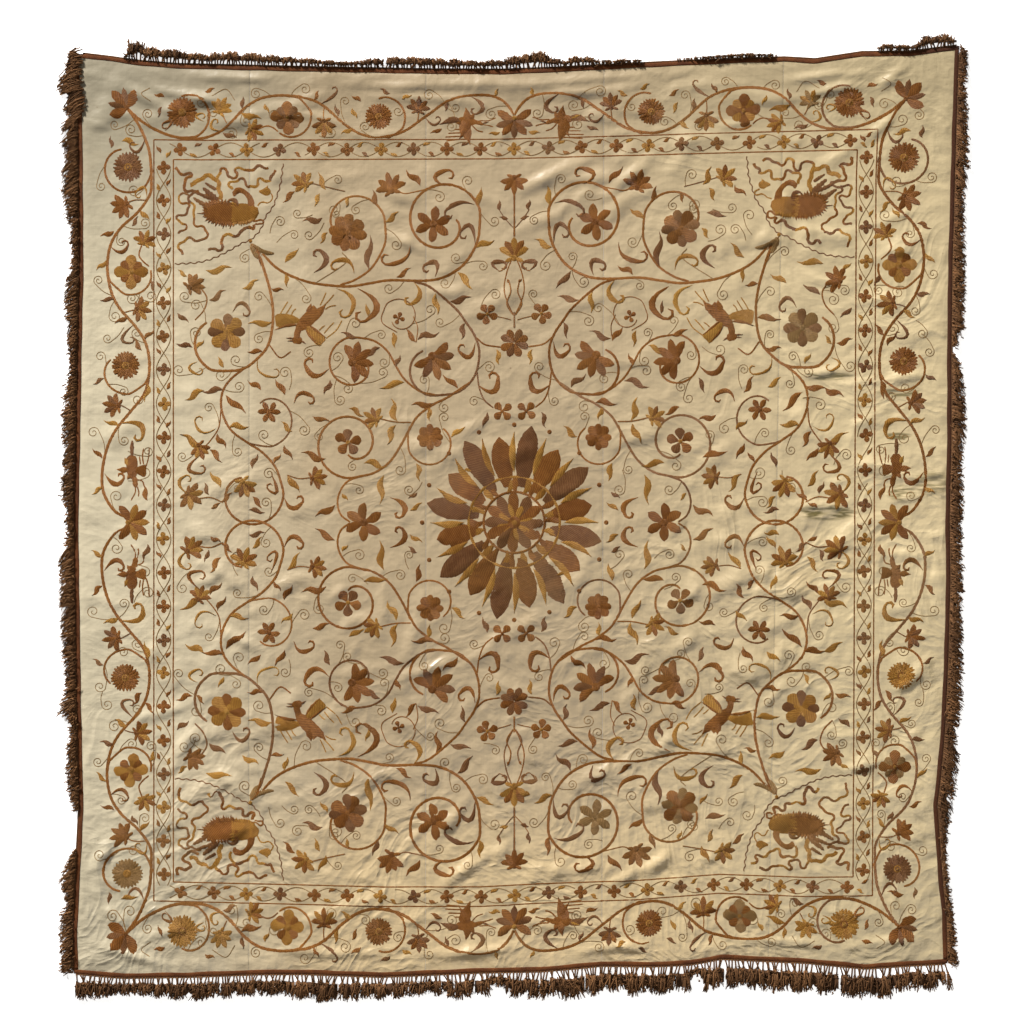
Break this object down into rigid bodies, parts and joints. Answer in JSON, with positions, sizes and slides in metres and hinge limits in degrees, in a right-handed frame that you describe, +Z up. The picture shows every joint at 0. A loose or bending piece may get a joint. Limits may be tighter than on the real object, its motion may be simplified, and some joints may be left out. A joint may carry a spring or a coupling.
{
  "type": "embroidered silk bedcover",
  "caption": "Flat silk satin bedcover of joined loom widths with a woven braid and a matted fringe on each edge, laid out face up.",
  "frame": {"origin": "middle of the footprint, on the surface that the cover lies on", "axes": "+Y towards the head edge, +X towards the right edge seen from above, +Z up out of the embroidered face"},
  "size_m": [2.5485, 2.7111, 0.012],
  "materials": {
    "silk_satin": "satin",
    "woven_braid": "matte",
    "fringe_silk": "matte"
  },
  "bodies": {
    "root": {"silk_width_1": "silk_satin", "silk_width_2": "silk_satin", "silk_width_3": "silk_satin", "silk_width_4": "silk_satin", "silk_width_5": "silk_satin", "braid_head": "woven_braid", "braid_foot": "woven_braid", "braid_left": "woven_braid", "braid_right": "woven_braid", "fringe_head": "fringe_silk", "fringe_foot": "fringe_silk", "fringe_left": "fringe_silk", "fringe_right": "fringe_silk"}
  },
  "joints": []
}
